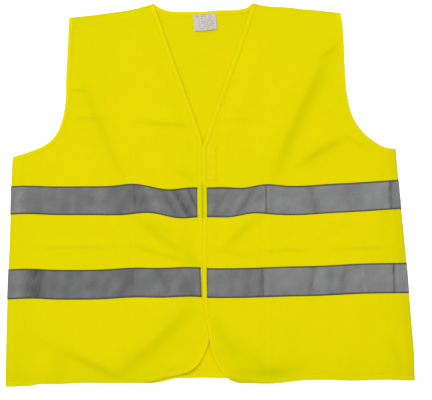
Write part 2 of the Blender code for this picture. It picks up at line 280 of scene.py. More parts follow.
# %% Height of the folds
# Each fold: start and end of its shaded foot, height, reach, and how deep its painted shade goes (0 to 1).
FRONT_FOLDS = [
    ((-0.240, 0.235), (-0.112, -0.022), 0.0036, 0.0160, 0.28),
    ((-0.240, 0.182), (-0.204, 0.179), 0.0013, 0.0030, 0.28),
    ((-0.244, 0.133), (-0.160, 0.131), 0.0009, 0.0030, 0.18),
    ((-0.136, 0.126), (0.010, 0.119), 0.0017, 0.0045, 0.26),
    ((0.006, 0.130), (0.120, 0.126), 0.0006, 0.0035, 0.12),
    ((0.232, 0.290), (0.110, -0.012), 0.0044, 0.0150, 0.38),
    ((0.192, 0.230), (0.244, 0.265), 0.0012, 0.0050, 0.26),
    ((0.266, 0.110), (0.150, 0.040), 0.0028, 0.0090, 0.36),
    ((0.236, 0.110), (0.300, 0.068), 0.0012, 0.0045, 0.24),
    ((-0.062, 0.052), (0.000, 0.010), 0.0014, 0.0080, 0.26),
    ((-0.150, -0.016), (0.000, -0.130), 0.0028, 0.0110, 0.38),
    ((-0.112, -0.028), (-0.036, -0.084), 0.0014, 0.0080, 0.16),
    ((-0.146, -0.084), (0.002, -0.127), 0.0014, 0.0048, 0.28),
    ((-0.330, -0.096), (-0.112, -0.090), 0.0009, 0.0036, 0.20),
    ((-0.030, -0.108), (0.002, -0.130), 0.0010, 0.0070, 0.40),
    ((0.126, -0.020), (0.010, -0.112), 0.0022, 0.0110, 0.26),
    ((0.090, -0.100), (0.196, -0.098), 0.0010, 0.0040, 0.24),
    ((-0.002, -0.097), (0.112, -0.110), 0.0008, 0.0055, 0.18),
    ((0.190, -0.096), (0.348, -0.093), 0.0008, 0.0038, 0.20),
    ((0.274, -0.036), (0.186, -0.086), 0.0008, 0.0110, 0.10),
    ((0.012, -0.180), (-0.176, -0.334), 0.0038, 0.0160, 0.32),
    ((-0.310, -0.248), (-0.196, -0.296), 0.0018, 0.0110, 0.24),
    ((-0.250, -0.268), (-0.128, -0.334), 0.0026, 0.0080, 0.50),
    ((-0.270, -0.268), (-0.236, -0.330), 0.0010, 0.0120, 0.22),
    ((0.008, -0.200), (0.070, -0.322), 0.0014, 0.0110, 0.40),
    ((0.020, -0.314), (0.196, -0.306), 0.0018, 0.0100, 0.40),
    ((0.322, -0.236), (0.349, -0.322), 0.0010, 0.0080, 0.20),
    ((0.012, -0.246), (0.160, -0.330), 0.0014, 0.0150, 0.34),
]
# The packet's sharp upright creases: x, lowest y, highest y, depth.
PACKET_CREASES = [
    (-0.127, -0.331, 0.110, 0.0003),
    (0.108, -0.331, 0.090, 0.0003),
    (0.322, -0.331, 0.060, 0.0003),
    (-0.300, -0.240, -0.100, 0.0003),
]
CREASE_REACH = 0.014
FRONT_BASE, BACK_BASE = 0.0030, 0.00105
SEAM_BASE = {"front": 0.0018, "back": 0.00135}
HIGHEST_FOLD = 0.0074


def ripples(x, y, length, seed):
    """Smooth random waves from 0 to 1: eight sines of about that wavelength in random directions."""
    rng = np.random.default_rng(seed)
    total = np.zeros(np.broadcast(x, y).shape)
    for angle, phase, stretch in rng.uniform((0, 0, 0.7), (math.pi, 2 * math.pi, 1.5), (8, 3)):
        run = x * math.cos(angle) + y * math.sin(angle)
        total = total + np.sin(2 * math.pi * run / (length * stretch) + phase)
    return 0.5 + total / 8


def fold_frame(x, y, start, end, reach):
    """Distance past a fold's foot on its shaded side, and the fade to nothing at its two ends."""
    start, end = np.array(start), np.array(end)
    along = (end - start) / np.linalg.norm(end - start)
    run = ((x - start[0]) * along[0] + (y - start[1]) * along[1]) / np.linalg.norm(end - start)
    away = (x - start[0]) * -along[1] + (y - start[1]) * along[0]
    lit = 1 if along[0] + along[1] > 0 else -1
    away = -lit * away + 0.18 * reach * np.sin(run * 7 + start[0] * 40)
    return away, smooth(run / 0.40) * smooth((1 - run) / 0.40)


def fold(x, y, start, end, height, reach):
    """A ridge with a steep shaded side: a Gaussian, nearly three times as wide on its lit side."""
    away, fade = fold_frame(x, y, start, end, reach)
    away = away + 0.7 * reach
    return height * fade * np.exp(-((away / np.where(away > 0, reach, 2.8 * reach)) ** 2))


def crease_span(y, low, high):
    """1 along a packet fold line, from its lowest to its highest point, fading out at both."""
    return smooth((y - low) / 0.05 + 1) * smooth((high - y) / 0.05)


def crease_shade(x, y):
    """Painted shade along the folds' feet and the packet's creases, where their valleys fall in shade, a
    broad painted shade low on the left, and a little random tone.
    """
    light = np.ones(np.broadcast(x, y).shape)
    for start, end, _, reach, depth in FRONT_FOLDS:
        away, fade = fold_frame(x, y, start, end, reach)
        light = light * (1 - depth * fade * np.exp(-(np.abs(away / reach) ** 1.3)))
    for at_x, low, high, _ in PACKET_CREASES:
        line = np.exp(-(((x - at_x) / 0.0018) ** 2))
        light = light * (1 - 0.10 * crease_span(y, low, high) * line)
    # Broad painted shade low on the left, near the hem and the left side.
    broad = 0.04 * bump(x, y, -0.23, -0.30, 0.12, 0.06) + 0.04 * bump(x, y, -0.33, -0.25, 0.03, 0.10)
    return 1 - light * (1 - broad) + 0.03 * ripples(x, y, 0.10, 14)


def back_folds(x, y):
    """The back lies nearly flat: broad waves under a millimetre, and a soft hollow at the neck."""
    open_neck = np.exp(-(((x - 0.02) / 0.07) ** 2) - ((y - 0.22) / 0.10) ** 2)
    return 0.0005 * ripples(x, y, 0.12, 3) + 0.0008 * open_neck * ripples(x, y, 0.06, 5)


def front_folds(x, y):
    """All the folds of the fronts, the packet's creases as valleys, and fine puckers."""
    total = 0.0011 * ripples(x, y, 0.16, 11) + 0.0005 * ripples(x, y, 0.045, 12)
    total = total + 0.00014 * ripples(x, y, 0.014, 13)
    for start, end, height, reach, _ in FRONT_FOLDS:
        total = total + fold(x, y, start, end, height, reach)
    for at_x, low, high, depth in PACKET_CREASES:
        flank = np.where(x < at_x, 1.0, 0.45) * CREASE_REACH
        hill = np.exp(-(((np.abs(x - at_x) - flank) / 0.006) ** 2))
        total = total + depth * crease_span(y, low, high) * hill
    return np.minimum(total, HIGHEST_FOLD)


def sewn_down(x, y):
    """0 on a side or shoulder seam, where the two layers meet, rising to 1 a little way in."""
    side = outer_x(np.minimum(y, UNDERARM_Y)) - np.abs(x)
    side = np.where(y < UNDERARM_Y, side, side + (y - UNDERARM_Y))
    shoulder = shoulder_line(np.abs(x)) - y
    shoulder = np.where(np.abs(x) < NECK_X, shoulder + 4 * (NECK_X - np.abs(x)), shoulder)
    return smooth(np.minimum(side, shoulder) / 0.016)


def overlap(x, y):
    """Extra height of the fronts: the right edge rides on the left one, and one corner curls up."""
    along = smooth((V_FOOT + 0.035 - y) / 0.03) * smooth((y - HEM_Y - 0.035) / 0.03)
    over = 0.00195 * along * smooth((0.034 - x) / 0.022) * (x > 0)
    curl = 0.0036 * bump(x, y, -0.036, HEM_Y + 0.014, 0.032, 0.022) * (x < 0)
    return over + curl


def lay(x, y, layer, lift=0.0):
    """Pattern point to place on the table: pull in the plane, then base height, folds and lift."""
    free = sewn_down(x, y)
    at_x, at_y = pulled(x, y, layer)
    height = SEAM_BASE[layer] + ((FRONT_BASE if layer == "front" else BACK_BASE) - SEAM_BASE[layer]) * free
    folds = back_folds(at_x, at_y)
    if layer == "front":
        settled = smooth((np.abs(x) - front_x(y) - 0.012) / 0.030)
        folds = folds + front_folds(at_x, at_y) * (0.25 + 0.75 * settled) - 0.0007 * (1 - settled)
        folds = folds + overlap(x, y)
    height = height + folds * (0.12 + 0.88 * free) + lift
    return np.stack(np.broadcast_arrays(at_x, at_y, height), axis=-1)


probe = lay(np.linspace(-0.3, 0.3, 400)[None, :], np.linspace(-0.32, 0.3, 400)[:, None], "front")
print(f"fronts lie {probe[..., 2].min() * 1000:.1f} to {probe[..., 2].max() * 1000:.1f} mm up")

# %% [markdown]
# ## From grids to meshes
# Cloth, tape and label are all thin sheets over a grid of pattern points. One helper turns such a
# grid into a closed skin: a face up, a face down, and a rim between them. It also keeps the
# pattern's own measurements as a UV map in metres, so a weave can follow the cloth round a fold.


# %% Mesh helpers
def mesh_object(name, points, faces, finish, uv=None, smooth_faces=True):
    """Makes an object from arrays: points (n, 3), faces (m, 3 or 4) and UVs, one for each point."""
    faces = np.asarray(faces, np.int32)
    mesh = bpy.data.meshes.new(name)
    mesh.vertices.add(len(points))
    mesh.vertices.foreach_set("co", np.asarray(points, np.float32).ravel())
    mesh.loops.add(faces.size)
    mesh.loops.foreach_set("vertex_index", faces.ravel())
    mesh.polygons.add(len(faces))
    mesh.polygons.foreach_set("loop_start", np.arange(0, faces.size, faces.shape[1], dtype=np.int32))
    mesh.update(calc_edges=True)
    if uv is not None:
        layer = mesh.uv_layers.new(name="pattern")
        layer.data.foreach_set("uv", np.asarray(uv, np.float32)[faces.ravel()].ravel())
    mesh.polygons.foreach_set("use_smooth", np.full(len(faces), smooth_faces))
    mesh.validate()
    mesh.materials.append(finish)
    piece = bpy.data.objects.new(name, mesh)
    bpy.context.scene.collection.objects.link(piece)
    return piece


def grid_faces(rows, columns, start=0, wrap=False):
    """Quads of a grid numbered row by row, with the last column joined to the first if it wraps."""
    i = np.arange(rows - 1)[:, None]
    j = np.arange(columns if wrap else columns - 1)[None, :]
    k = (j + 1) % columns
    quads = np.stack([i * columns + j, i * columns + k, (i + 1) * columns + k, (i + 1) * columns + j], -1)
    return quads.reshape(-1, 4) + start


def sheet_skin(name, top, bottom, uv, finish):
    """A thin closed sheet: the upper grid, the lower grid turned over, and a strip round the rim."""
    rows, columns = top.shape[:2]
    count = rows * columns
    numbers = np.arange(count).reshape(rows, columns)
    rim = np.concatenate([numbers[0, :-1], numbers[:-1, -1], numbers[-1, :0:-1], numbers[:0:-1, 0]])
    after = np.roll(rim, -1)
    upper = grid_faces(rows, columns)
    lower = grid_faces(rows, columns, count)[:, ::-1]
    sides = np.stack([rim, rim + count, after + count, after], -1)
    faces = np.vstack([upper, lower, sides])
    points = np.vstack([top.reshape(-1, 3), bottom.reshape(-1, 3)])
    pattern = np.vstack([uv.reshape(-1, 2)] * 2)
    a, b, c = points[upper[:, 0]], points[upper[:, 1]], points[upper[:, 2]]
    if np.cross(b - a, c - a)[:, 2].mean() < 0:
        faces = faces[:, ::-1]
    return mesh_object(name, points, faces, finish, pattern)


# %% [markdown]
# ## Finishes
# Each finish is a small shader. What several of them share, such as the weave's relief, the uneven
# dye and the shade along a sewn edge, is made once as a node group with named inputs, and each
# material sets its own values. The shaders themselves stay in the materials.


# %% Shader helpers
def put(tree, kind, inputs=(), **settings):
    """Adds a node. An input's value is a number, a colour, or another node's output to link."""
    node = tree.nodes.new(kind)
    for key, value in settings.items():
        setattr(node, key, value)
    for key, value in dict(inputs).items():
        if isinstance(value, bpy.types.NodeSocket):
            tree.links.new(value, node.inputs[key])
        else:
            node.inputs[key].default_value = value
    return node


def maths(tree, operation, *values):
    return put(tree, "ShaderNodeMath", dict(enumerate(values)), operation=operation).outputs[0]


def ranged(tree, value, low=0.0, high=1.0, start=0.0, end=1.0):
    """The value, moved from the range start to end over to the range low to high."""
    ends = {"From Min": start, "From Max": end, "To Min": low, "To Max": high}
    return put(tree, "ShaderNodeMapRange", {"Value": value, **ends}).outputs[0]


def noise(tree, place, scale, detail):
    return put(tree, "ShaderNodeTexNoise", {"Vector": place, "Scale": scale, "Detail": detail}).outputs[0]


def colour_mix(tree, factor, first, second):
    """The first colour where the factor is 0, and the second where it is 1."""
    mix = put(tree, "ShaderNodeMix", {"Factor": factor, "A": first, "B": second}, data_type="RGBA")
    return mix.outputs["Result"]


def darker(colour, share):
    return tuple(share * part for part in colour[:3]) + (1,)


def new_group(name, inputs, outputs):
    """A node group with its inputs and outputs. A default of None makes an input for a place."""
    kinds = {float: "Float", tuple: "Color", type(None): "Vector"}
    group = bpy.data.node_groups.new(name, "ShaderNodeTree")
    for label, value in inputs.items():
        kind = f"NodeSocket{kinds[type(value)]}"
        socket = group.interface.new_socket(label, in_out="INPUT", socket_type=kind)
        if value is not None:
            socket.default_value = value
    for label, kind in outputs.items():
        group.interface.new_socket(label, in_out="OUTPUT", socket_type=f"NodeSocket{kind}")
    return group, group.nodes.new("NodeGroupInput").outputs, group.nodes.new("NodeGroupOutput").inputs


def knit_group():
    """Warp knit: wales and courses as two sines, offset in every other course, with open holes."""
    inputs = {"Pattern": None, "Pitch": 0.0012}
    group, given, out = new_group("knit_relief", inputs, {"Height": "Float", "Hole": "Float"})
    split = put(group, "ShaderNodeSeparateXYZ", {0: given["Pattern"]}).outputs
    turns = [maths(group, "DIVIDE", split[i], given["Pitch"]) for i in (0, 1)]
    across = maths(group, "SINE", maths(group, "MULTIPLY", turns[0], 2 * math.pi))
    along = maths(group, "SINE", maths(group, "MULTIPLY", turns[1], math.pi))
    height = maths(group, "MULTIPLY_ADD", maths(group, "MULTIPLY", across, along), 0.5, 0.5)
    filled = maths(group, "SMOOTH_MIN", maths(group, "MULTIPLY", height, 3.0), 1.0, 0.2)
    group.links.new(height, out["Height"])
    group.links.new(maths(group, "SUBTRACT", 1.0, filled), out["Hole"])
    return group


def tone_group():
    """Uneven dye: a broad noise and a fine one move the colour between two near shades."""
    shades = {"Light": (1.0, 1.0, 1.0, 1.0), "Dark": (0.0, 0.0, 0.0, 1.0)}
    inputs = {"Place": None, **shades, "Broad Scale": 12.0, "Fine Scale": 160.0}
    group, given, out = new_group("uneven_tone", inputs, {"Colour": "Color", "Mask": "Float"})
    broad = noise(group, given["Place"], given["Broad Scale"], 3.0)
    fine = noise(group, given["Place"], given["Fine Scale"], 2.0)
    mask = maths(group, "MULTIPLY_ADD", fine, 0.35, maths(group, "MULTIPLY", broad, 0.65))
    spread = ranged(group, mask, start=0.36, end=0.64)
    group.links.new(colour_mix(group, spread, given["Dark"], given["Light"]), out["Colour"])
    group.links.new(spread, out["Mask"])
    return group


def edge_group():
    """Shade along a strip's two long edges: 1 at the edge, 0 further in than Reach."""
    inputs = {"Pattern": None, "Width": 0.05, "Reach": 0.002}
    group, given, out = new_group("painted_edge_shade", inputs, {"Mask": "Float"})
    low = put(group, "ShaderNodeSeparateXYZ", {0: given["Pattern"]}).outputs[1]
    inside = maths(group, "MINIMUM", low, maths(group, "SUBTRACT", given["Width"], low))
    share = maths(group, "DIVIDE", inside, given["Reach"])
    group.links.new(ranged(group, share, 1.0, 0.0), out["Mask"])
    return group


GROUPS = {"knit": knit_group(), "tone": tone_group(), "edge": edge_group()}
print("shared shader groups:", [group.name for group in GROUPS.values()])


# %% Starting a material
def new_material(name, roughness, specular, metallic=0.0):
    """A material with the constants on its shader, and outputs for pattern (in metres) and place."""
    material = bpy.data.materials.new(name)
    material.use_nodes = True
    tree = material.node_tree
    shader = tree.nodes["Principled BSDF"]
    constants = {"Roughness": roughness, "Specular IOR Level": specular, "Metallic": metallic}
    for socket, value in constants.items():
        shader.inputs[socket].default_value = value
    where = put(tree, "ShaderNodeTexCoord").outputs
    return material, tree, shader, where["UV"], where["Object"]


def group_node(tree, which, inputs):
    return put(tree, "ShaderNodeGroup", inputs, node_tree=GROUPS[which]).outputs


def toned(tree, place, light, dark, broad, fine):
    """Outputs of the uneven tone between two colours, with its broad and fine noise scales."""
    scales = {"Broad Scale": broad, "Fine Scale": fine}
    return group_node(tree, "tone", {"Place": place, "Light": light, "Dark": dark, **scales})


def attribute(tree, name):
    return put(tree, "ShaderNodeAttribute", attribute_name=name).outputs["Fac"]


def bump_into(tree, shader, height, distance, strength):
    bump = put(tree, "ShaderNodeBump", {"Height": height, "Distance": distance, "Strength": strength})
    tree.links.new(bump.outputs[0], shader.inputs["Normal"])


# %% [markdown]
# ### Fluorescent knit and edge tape
# The knit is polyester dyed with a fluorescent yellow: very bright, quite matt, never shiny. Its
# colour barely varies, so the dye's two shades are close. The relief is a fine knit of about
# 1.2 mm. The folded edge tape is the same yellow in a smoother, closer weave.


# %% Knit and edge tape
# Colour of the painted shade in the knit and the edge tape: a darker, greener yellow.
SHADE_YELLOW = (0.30, 0.40, 0.0, 1)


def yellow_material(name, light, dark, pitch, relief, roughness):
    """Two near yellows, with painted shade in the knit's holes, and painted shade towards a darker, greener
    yellow where the painted shade attribute rises.
    """
    material, tree, shader, pattern, place = new_material(name, roughness, 0.02)
    tone = toned(tree, place, light, dark, 6.0, 60.0)
    knit = group_node(tree, "knit", {"Pattern": pattern, "Pitch": pitch})
    # Painted shade in the knit's holes.
    holes = maths(tree, "MULTIPLY", knit["Hole"], 0.25)
    shade = colour_mix(tree, holes, tone["Colour"], darker(dark, 0.72))
    # Painted shade along folds, outline, seams and tape noses, read from the painted shade attribute.
    shaded_colour = colour_mix(tree, attribute(tree, "painted_shade"), shade, SHADE_YELLOW)
    tree.links.new(shaded_colour, shader.inputs["Base Color"])
    bump_into(tree, shader, knit["Height"], relief, 0.5)
    return material


KNIT_YELLOWS = (0.664, 0.552, 0.0, 1), (0.622, 0.549, 0.0, 1)
TAPE_YELLOWS = (0.666, 0.558, 0.0, 1), (0.628, 0.553, 0.0, 1)
KNIT = yellow_material("fluorescent_knit", *KNIT_YELLOWS, pitch=0.0012, relief=0.00012, roughness=0.85)
EDGE_TAPE = yellow_material("edge_tape", *TAPE_YELLOWS, pitch=0.0007, relief=0.00006, roughness=0.75)

# %% [markdown]
# ### Reflective tape
# Reflective tape is a cloth backing covered in tiny glass beads. By daylight it is a mid grey with
# a faint satin gloss, blotchy with painted shade and reflection, and with painted shade along its edges.


# %% Reflective tape
BAND_WIDTH = float(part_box("upper_band_back")[1][1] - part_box("upper_band_back")[0][1])
# Colour of the painted shade along a band's stitched edges.
EDGE_SHADE_GREY = (0.030, 0.030, 0.018, 1)


def tape_material():
    """Two near greys that follow the band's painted light, with painted shade along the stitched edges on
    top.
    """
    material, tree, shader, pattern, place = new_material("reflective_tape", 0.5, 0.25, metallic=0.10)
    greys = []
    # The two greys follow the band's painted light.
    for low, high in ((0.036, 0.234), (0.041, 0.262)):
        grey = ranged(tree, attribute(tree, "tape_light_and_tone"), low, high)
        greys.append(put(tree, "ShaderNodeCombineColor", {i: grey for i in range(3)}).outputs[0])
    tone = toned(tree, place, greys[1], greys[0], 26.0, 240.0)
    edge = group_node(tree, "edge", {"Pattern": pattern, "Width": BAND_WIDTH, "Reach": 0.0030})
    # Painted shade along the band's two stitched edges.
    edge_shade = maths(tree, "POWER", edge["Mask"], 0.7)
    shade = colour_mix(tree, edge_shade, tone["Colour"], EDGE_SHADE_GREY)
    tree.links.new(shade, shader.inputs["Base Color"])
    tree.links.new(ranged(tree, tone["Mask"], 0.58, 0.40), shader.inputs["Roughness"])
    beads = put(tree, "ShaderNodeTexVoronoi", {"Vector": place, "Scale": 2600.0})
    bump_into(tree, shader, beads.outputs["Distance"], 0.00008, 0.35)
    return material


REFLECTIVE = tape_material()

# %% [markdown]
# ### Thread, label, hooks and loops
# Threads are yellow on the cloth and grey-green on the tape. The label is white satin with faint
# care-label print, kept here to plain dashes that spell nothing. Loop tape is a soft yellow nap,
# and hook tape a stiffer plastic of the same dye.


# %% Small finishes
def fibre_material(name, colour, dark_share, broad, fine, roughness, specular, nap=False):
    """One colour and a darker share of it in uneven tone, with a bumpy nap on hook and loop tape."""
    material, tree, shader, _, place = new_material(name, roughness, specular)
    tone = toned(tree, place, colour, darker(colour, dark_share), broad, fine)
    tree.links.new(tone["Colour"], shader.inputs["Base Color"])
    if nap:
        bump_into(tree, shader, noise(tree, place, fine, 4.0), 0.0004, 0.6)
    return material


PRINT_PITCH, WORD_LENGTH = 0.0032, 0.0042
LABEL_WHITE, LABEL_INK = (0.485, 0.440, 0.395, 1), (0.27, 0.26, 0.30, 1)


def label_material():
    """Rows of dashes: where a noise read along each row is high, inside the label's margins."""
    material, tree, shader, pattern, _ = new_material("label_satin", 0.45, 0.35)
    split = put(tree, "ShaderNodeSeparateXYZ", {0: pattern}).outputs
    rows = maths(tree, "DIVIDE", split[1], PRINT_PITCH)
    across = maths(tree, "DIVIDE", split[0], WORD_LENGTH)
    from_line = maths(tree, "ABSOLUTE", maths(tree, "SUBTRACT", maths(tree, "FRACT", rows), 0.5))
    line = maths(tree, "LESS_THAN", from_line, 0.27)
    each_row = maths(tree, "MULTIPLY", maths(tree, "FLOOR", rows), 7.3)
    spot = put(tree, "ShaderNodeCombineXYZ", {0: across, 1: each_row}).outputs[0]
    ink = maths(tree, "GREATER_THAN", noise(tree, spot, 1.0, 1.0), 0.47)
    from_middle = maths(tree, "ABSOLUTE", maths(tree, "SUBTRACT", split[0], 0.020))
    inside = maths(tree, "LESS_THAN", from_middle, 0.0165)
    printed = maths(tree, "MULTIPLY", maths(tree, "MULTIPLY", line, ink), inside)
    colour = colour_mix(tree, maths(tree, "MULTIPLY", printed, 0.8), LABEL_WHITE, LABEL_INK)
    tree.links.new(colour, shader.inputs["Base Color"])
    satin = put(tree, "ShaderNodeTexWave", {"Vector": pattern, "Scale": 900.0, "Distortion": 0.4})
    bump_into(tree, shader, satin.outputs[0], 0.00003, 0.3)
    return material


THREAD = fibre_material("yellow_thread", (0.70, 0.59, 0.0, 1), 0.8, 300.0, 2500.0, 0.6, 0.2)
GREY_THREAD = fibre_material("grey_thread", (0.075, 0.075, 0.055, 1), 0.8, 300.0, 2500.0, 0.6, 0.2)
LABEL = label_material()
LOOP = fibre_material("loop_tape", (0.680, 0.572, 0.0, 1), 0.90, 60.0, 1400.0, 0.95, 0.1, nap=True)
HOOK = fibre_material("hook_tape", (0.66, 0.60, 0.02, 1), 0.90, 60.0, 700.0, 0.5, 0.1, nap=True)
print("finishes:", len(bpy.data.materials))

# %% [markdown]
# ## The three panels
# The vest has one back and two fronts, each cut from a single layer of knit. A front could be a
# trimmed rectangle, but then its rim would be a staircase. Here the grid itself follows the cut: each
# row runs from the front edge to the side seam or armhole, and the rows tilt to meet the shoulder.

# %% Panel grids
CLOTH_HALF = 0.0002
CELL = 0.0026
# Shares across a front, more than twice as close together where it bends when it is folded open.
gaps = np.where(np.abs(np.linspace(0, 1, 150) - 0.41) < 0.22, 1.0, 2.3)
COLUMNS = np.concatenate([[0], np.cumsum(gaps) / gaps.sum()])


def front_grid(side):
    """Pattern grid of a front: straight rows between the front edge and the outer edge."""
    turn = np.linspace(0, math.pi / 2, 34)
    corner = HEM_Y + CORNER_Y * (1 - np.cos(turn))
    straight = np.arange(HEM_Y + CORNER_Y + CELL, TOP_Y - CELL / 2, CELL)
    inner_y = np.concatenate([corner, straight, [TOP_Y]])
    tilt_from = UNDERARM_Y + 0.03
    outer_y = inner_y - (TOP_Y - SHOULDER_Y) * smooth((inner_y - tilt_from) / (TOP_Y - tilt_from))
    across = COLUMNS[None, :]
    x = front_x(inner_y)[:, None] * (1 - across) + outer_x(outer_y)[:, None] * across
    y = inner_y[:, None] * (1 - across) + outer_y[:, None] * across
    return side * x, y


def back_top(x):
    """Upper edge of the back: the neck's dip in the middle and the shoulder's slope outside it."""
    away = np.abs(x)
    neck = np.interp(away, BACK_NECK[::-1, 0], BACK_NECK[::-1, 1])
    return np.where(away < NECK_X, neck, shoulder_line(away))


def back_grid():
    """Pattern grid of the back: rows as wide as the outline, bent to meet the neck and shoulders."""
    row_y = np.linspace(HEM_Y, SHOULDER_Y, 206)
    across = np.linspace(-1, 1, 224)[None, :]
    x = across * outer_x(row_y)[:, None]
    bend_from = UNDERARM_Y + 0.03
    share = smooth((row_y - bend_from) / (SHOULDER_Y - bend_from))[:, None]
    y = row_y[:, None] + (back_top(across * SHOULDER_X) - SHOULDER_Y) * share
    return x, y


def point_values(piece, name, values, copies=2):
    """Stores one number for each point, the same on a sheet's two faces."""
    layer = piece.data.attributes.new(name, "FLOAT", "POINT")
    layer.data.foreach_set("value", np.tile(values.ravel(), copies).astype(np.float32))


def outline_shade(x, y):
    """Painted shade beside the outline, where the knit turns down away from the light: amount *
    exp(-distance / reach).
    """
    low = smooth((UNDERARM_Y + 0.03 - y) / 0.06)
    side = outer_x(y) - np.abs(x)
    top = shoulder_line(np.abs(x)) - y
    at_side = np.where(x < 0, 0.11 + 0.06 * low, 0.13 * low)
    at_top = np.where(x < 0, 0.21, 0.12)
    at_hem = 0.20 * np.exp((HEM_Y - y) / 0.020)
    return at_side * np.exp(-side / 0.030) + at_top * np.exp(-np.abs(top) / 0.022) + at_hem


def front_shade(x, y):
    """Shade of a front: its folds' feet, the line beside the V's tape, and the outline."""
    beside_tape = np.exp(-(((np.abs(x) - front_x(y) - TAPE_WIDTH - 0.0006) / 0.0020) ** 2))
    v_neck = 0.13 * beside_tape * (y > BAND_Y["upper"])
    return 0.5 * crease_shade(*pulled(x, y, "front")) + v_neck + outline_shade(x, y)


def back_shade(x, y):
    """Shade of the back where it shows in the neck: a soft hill, and the edge of the neck."""
    open_neck = 0.06 * bump(x, y, 0.0, 0.25, 0.09, 0.12) + 0.02 * ripples(x, y, 0.09, 15)
    return open_neck + 0.10 * np.exp(-np.abs(TOP_Y - NECK_DIP - y) / 0.030)


def cloth_panel(name, x, y, layer):
    uv = np.stack([x, y], -1)
    piece = sheet_skin(name, lay(x, y, layer, CLOTH_HALF), lay(x, y, layer, -CLOTH_HALF), uv, KNIT)
    # Painted shade of each panel, stored at its points for the knit's colour.
    point_values(piece, "painted_shade", front_shade(x, y) if layer == "front" else back_shade(x, y))
    return piece


# %% Make the panels
panels, grids = {}, {}
for side_name, side in SIDES.items():
    grids[side_name] = front_grid(side)
    panels[side_name] = cloth_panel(f"{side_name}_front", *grids[side_name], "front")
grids["back"] = back_grid()
panels["back"] = cloth_panel("back", *grids["back"], "back")


def fold_with_front(piece):
    """Bakes the piece's placement into its mesh."""
    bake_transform(piece)


for side_name in SIDES:
    fold_with_front(panels[side_name])
    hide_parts(f"{side_name}_side_panel", f"{side_name}_front_panel")
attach(panels["back"], "root")
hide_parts("back_panel")

# %% [markdown]
# ## Reflective bands
# Each band is a strip of tape stitched down along both edges. Between the two needle lines it stands
# very slightly proud, and because it is stiffer than the knit it keeps small dents. A strip that
# follows the same lay as the cloth below can never part from it.

# %% Bands
BAND_LOW, BAND_HIGH = 0.00026, 0.00062
BAND_SPARE = 0.0005
# Painted shade and highlight streaks at a band's folds and dents: x, reach, lean, change of painted light,
# and the side it fades to.
TAPE_LIGHT_MARKS = {
    "upper": [
        (-0.326, 0.014, 0.0, 0.24, 0),
        (-0.145, 0.026, 0.0, -0.08, 0),
        (-0.105, 0.020, -0.3, -0.12, 0),
        (0.300, 0.028, 0.0, 0.10, 0),
        (-0.180, 0.018, -0.3, 0.07, 0),
        (-0.124, 0.004, 0.0, -0.16, 1),
        (-0.090, 0.010, -0.5, 0.08, 0),
        (-0.060, 0.006, -0.55, -0.12, 0),
        (-0.046, 0.004, -0.6, 0.12, 0),
        (-0.038, 0.008, -0.6, -0.24, 0),
        (-0.016, 0.0025, -0.45, -0.30, 0),
        (0.030, 0.007, 0.60, -0.12, 0),
        (0.050, 0.006, 0.75, -0.12, 0),
        (0.074, 0.008, 0.70, -0.20, 0),
        (0.1083, 0.0012, 0.0, -0.50, 0),
        (0.190, 0.006, -0.25, -0.16, 0),
        (0.262, 0.010, 0.25, -0.10, 0),
        (0.3235, 0.0032, 0.0, -0.42, 0),
    ],
    "lower": [
        (-0.332, 0.012, 0.0, 0.14, 0),
        (-0.215, 0.050, 0.0, -0.05, 0),
        (0.345, 0.012, 0.0, 0.16, 0),
        (-0.298, 0.016, 0.1, -0.30, 0),
        (-0.140, 0.012, 0.35, -0.10, 0),
        (-0.1255, 0.009, 0.0, -0.08, -1),
        (-0.072, 0.007, -0.5, -0.12, 0),
        (-0.050, 0.006, 0.6, 0.12, 0),
        (-0.035, 0.008, -0.5, -0.10, 0),
        (0.1020, 0.006, 0.0, -0.34, -1),
        (0.080, 0.020, 0.1, -0.14, 0),
        (0.184, 0.005, 0.2, -0.20, 0),
        (0.216, 0.008, 0.0, -0.16, 0),
        (0.238, 0.007, 0.1, -0.16, 0),
        (0.272, 0.004, -0.1, 0.12, 0),
        (0.3240, 0.0020, 0.0, -0.42, 0),
    ],
}


def band_light_and_tone(which, x, v):
    """Painted light of a band, 0 dark to 1 light: a slow painted change of reflection along it, random tone,
    and each mark's painted shade and highlight streaks added.
    """
    tone = 0.37 + 0.20 * smooth((x + 0.08) / 0.26) + 0.10 * ripples(x, v, 0.030, 41) - 0.05
    for at_x, reach, lean, change, fades in TAPE_LIGHT_MARKS[which]:
        away = x - at_x - lean * v + 0.0002 * np.sin(v * 330 + at_x * 90)
        hill = np.exp(-(np.abs(away / reach) ** 1.6))
        if fades:
            hill = np.exp(-np.abs(away) / reach) / (1 + np.exp(-fades * away / 0.0004))
        streak = 0.75 + 0.5 * ripples(x * 3, v, 0.020, 42)
        tone = tone + change * hill * streak
    return np.clip(tone, 0, 1)


def band_rows():
    """Distances across a band, closer together towards its two edges."""
    turn = np.linspace(0, math.pi, 23)
    return -(BAND_WIDTH / 2 + BAND_SPARE) * np.cos(turn)


def band_grid(which, side):
    """Pattern grid of a band: the back's when side is 0, or a front's, on the panel's own columns."""
    v = band_rows()[:, None]
    y = BAND_Y[which] + v
    edge = outer_x(y)
    if side:
        inner = front_x(y) + TAPE_WIDTH + (0.0019 if (which, side) == ("upper", -1) else -0.0002)
        middles = ((COLUMNS[1:] + COLUMNS[:-1]) / 2)[np.diff(COLUMNS) > 0.006]
        shares = np.sort(np.concatenate([COLUMNS, middles]))
        shares = shares[(shares > 0.035) & (shares < 0.992)]
        x = front_x(y) + (edge - front_x(y)) * shares
        x = side * np.hstack([inner, x, edge - 0.0016, edge - 0.0010, edge - 0.0005, edge, edge + 0.0005])
    else:
        x = (edge + 0.0005) * np.linspace(-1, 1, 360)[None, :]
    return x, np.broadcast_to(y, x.shape)


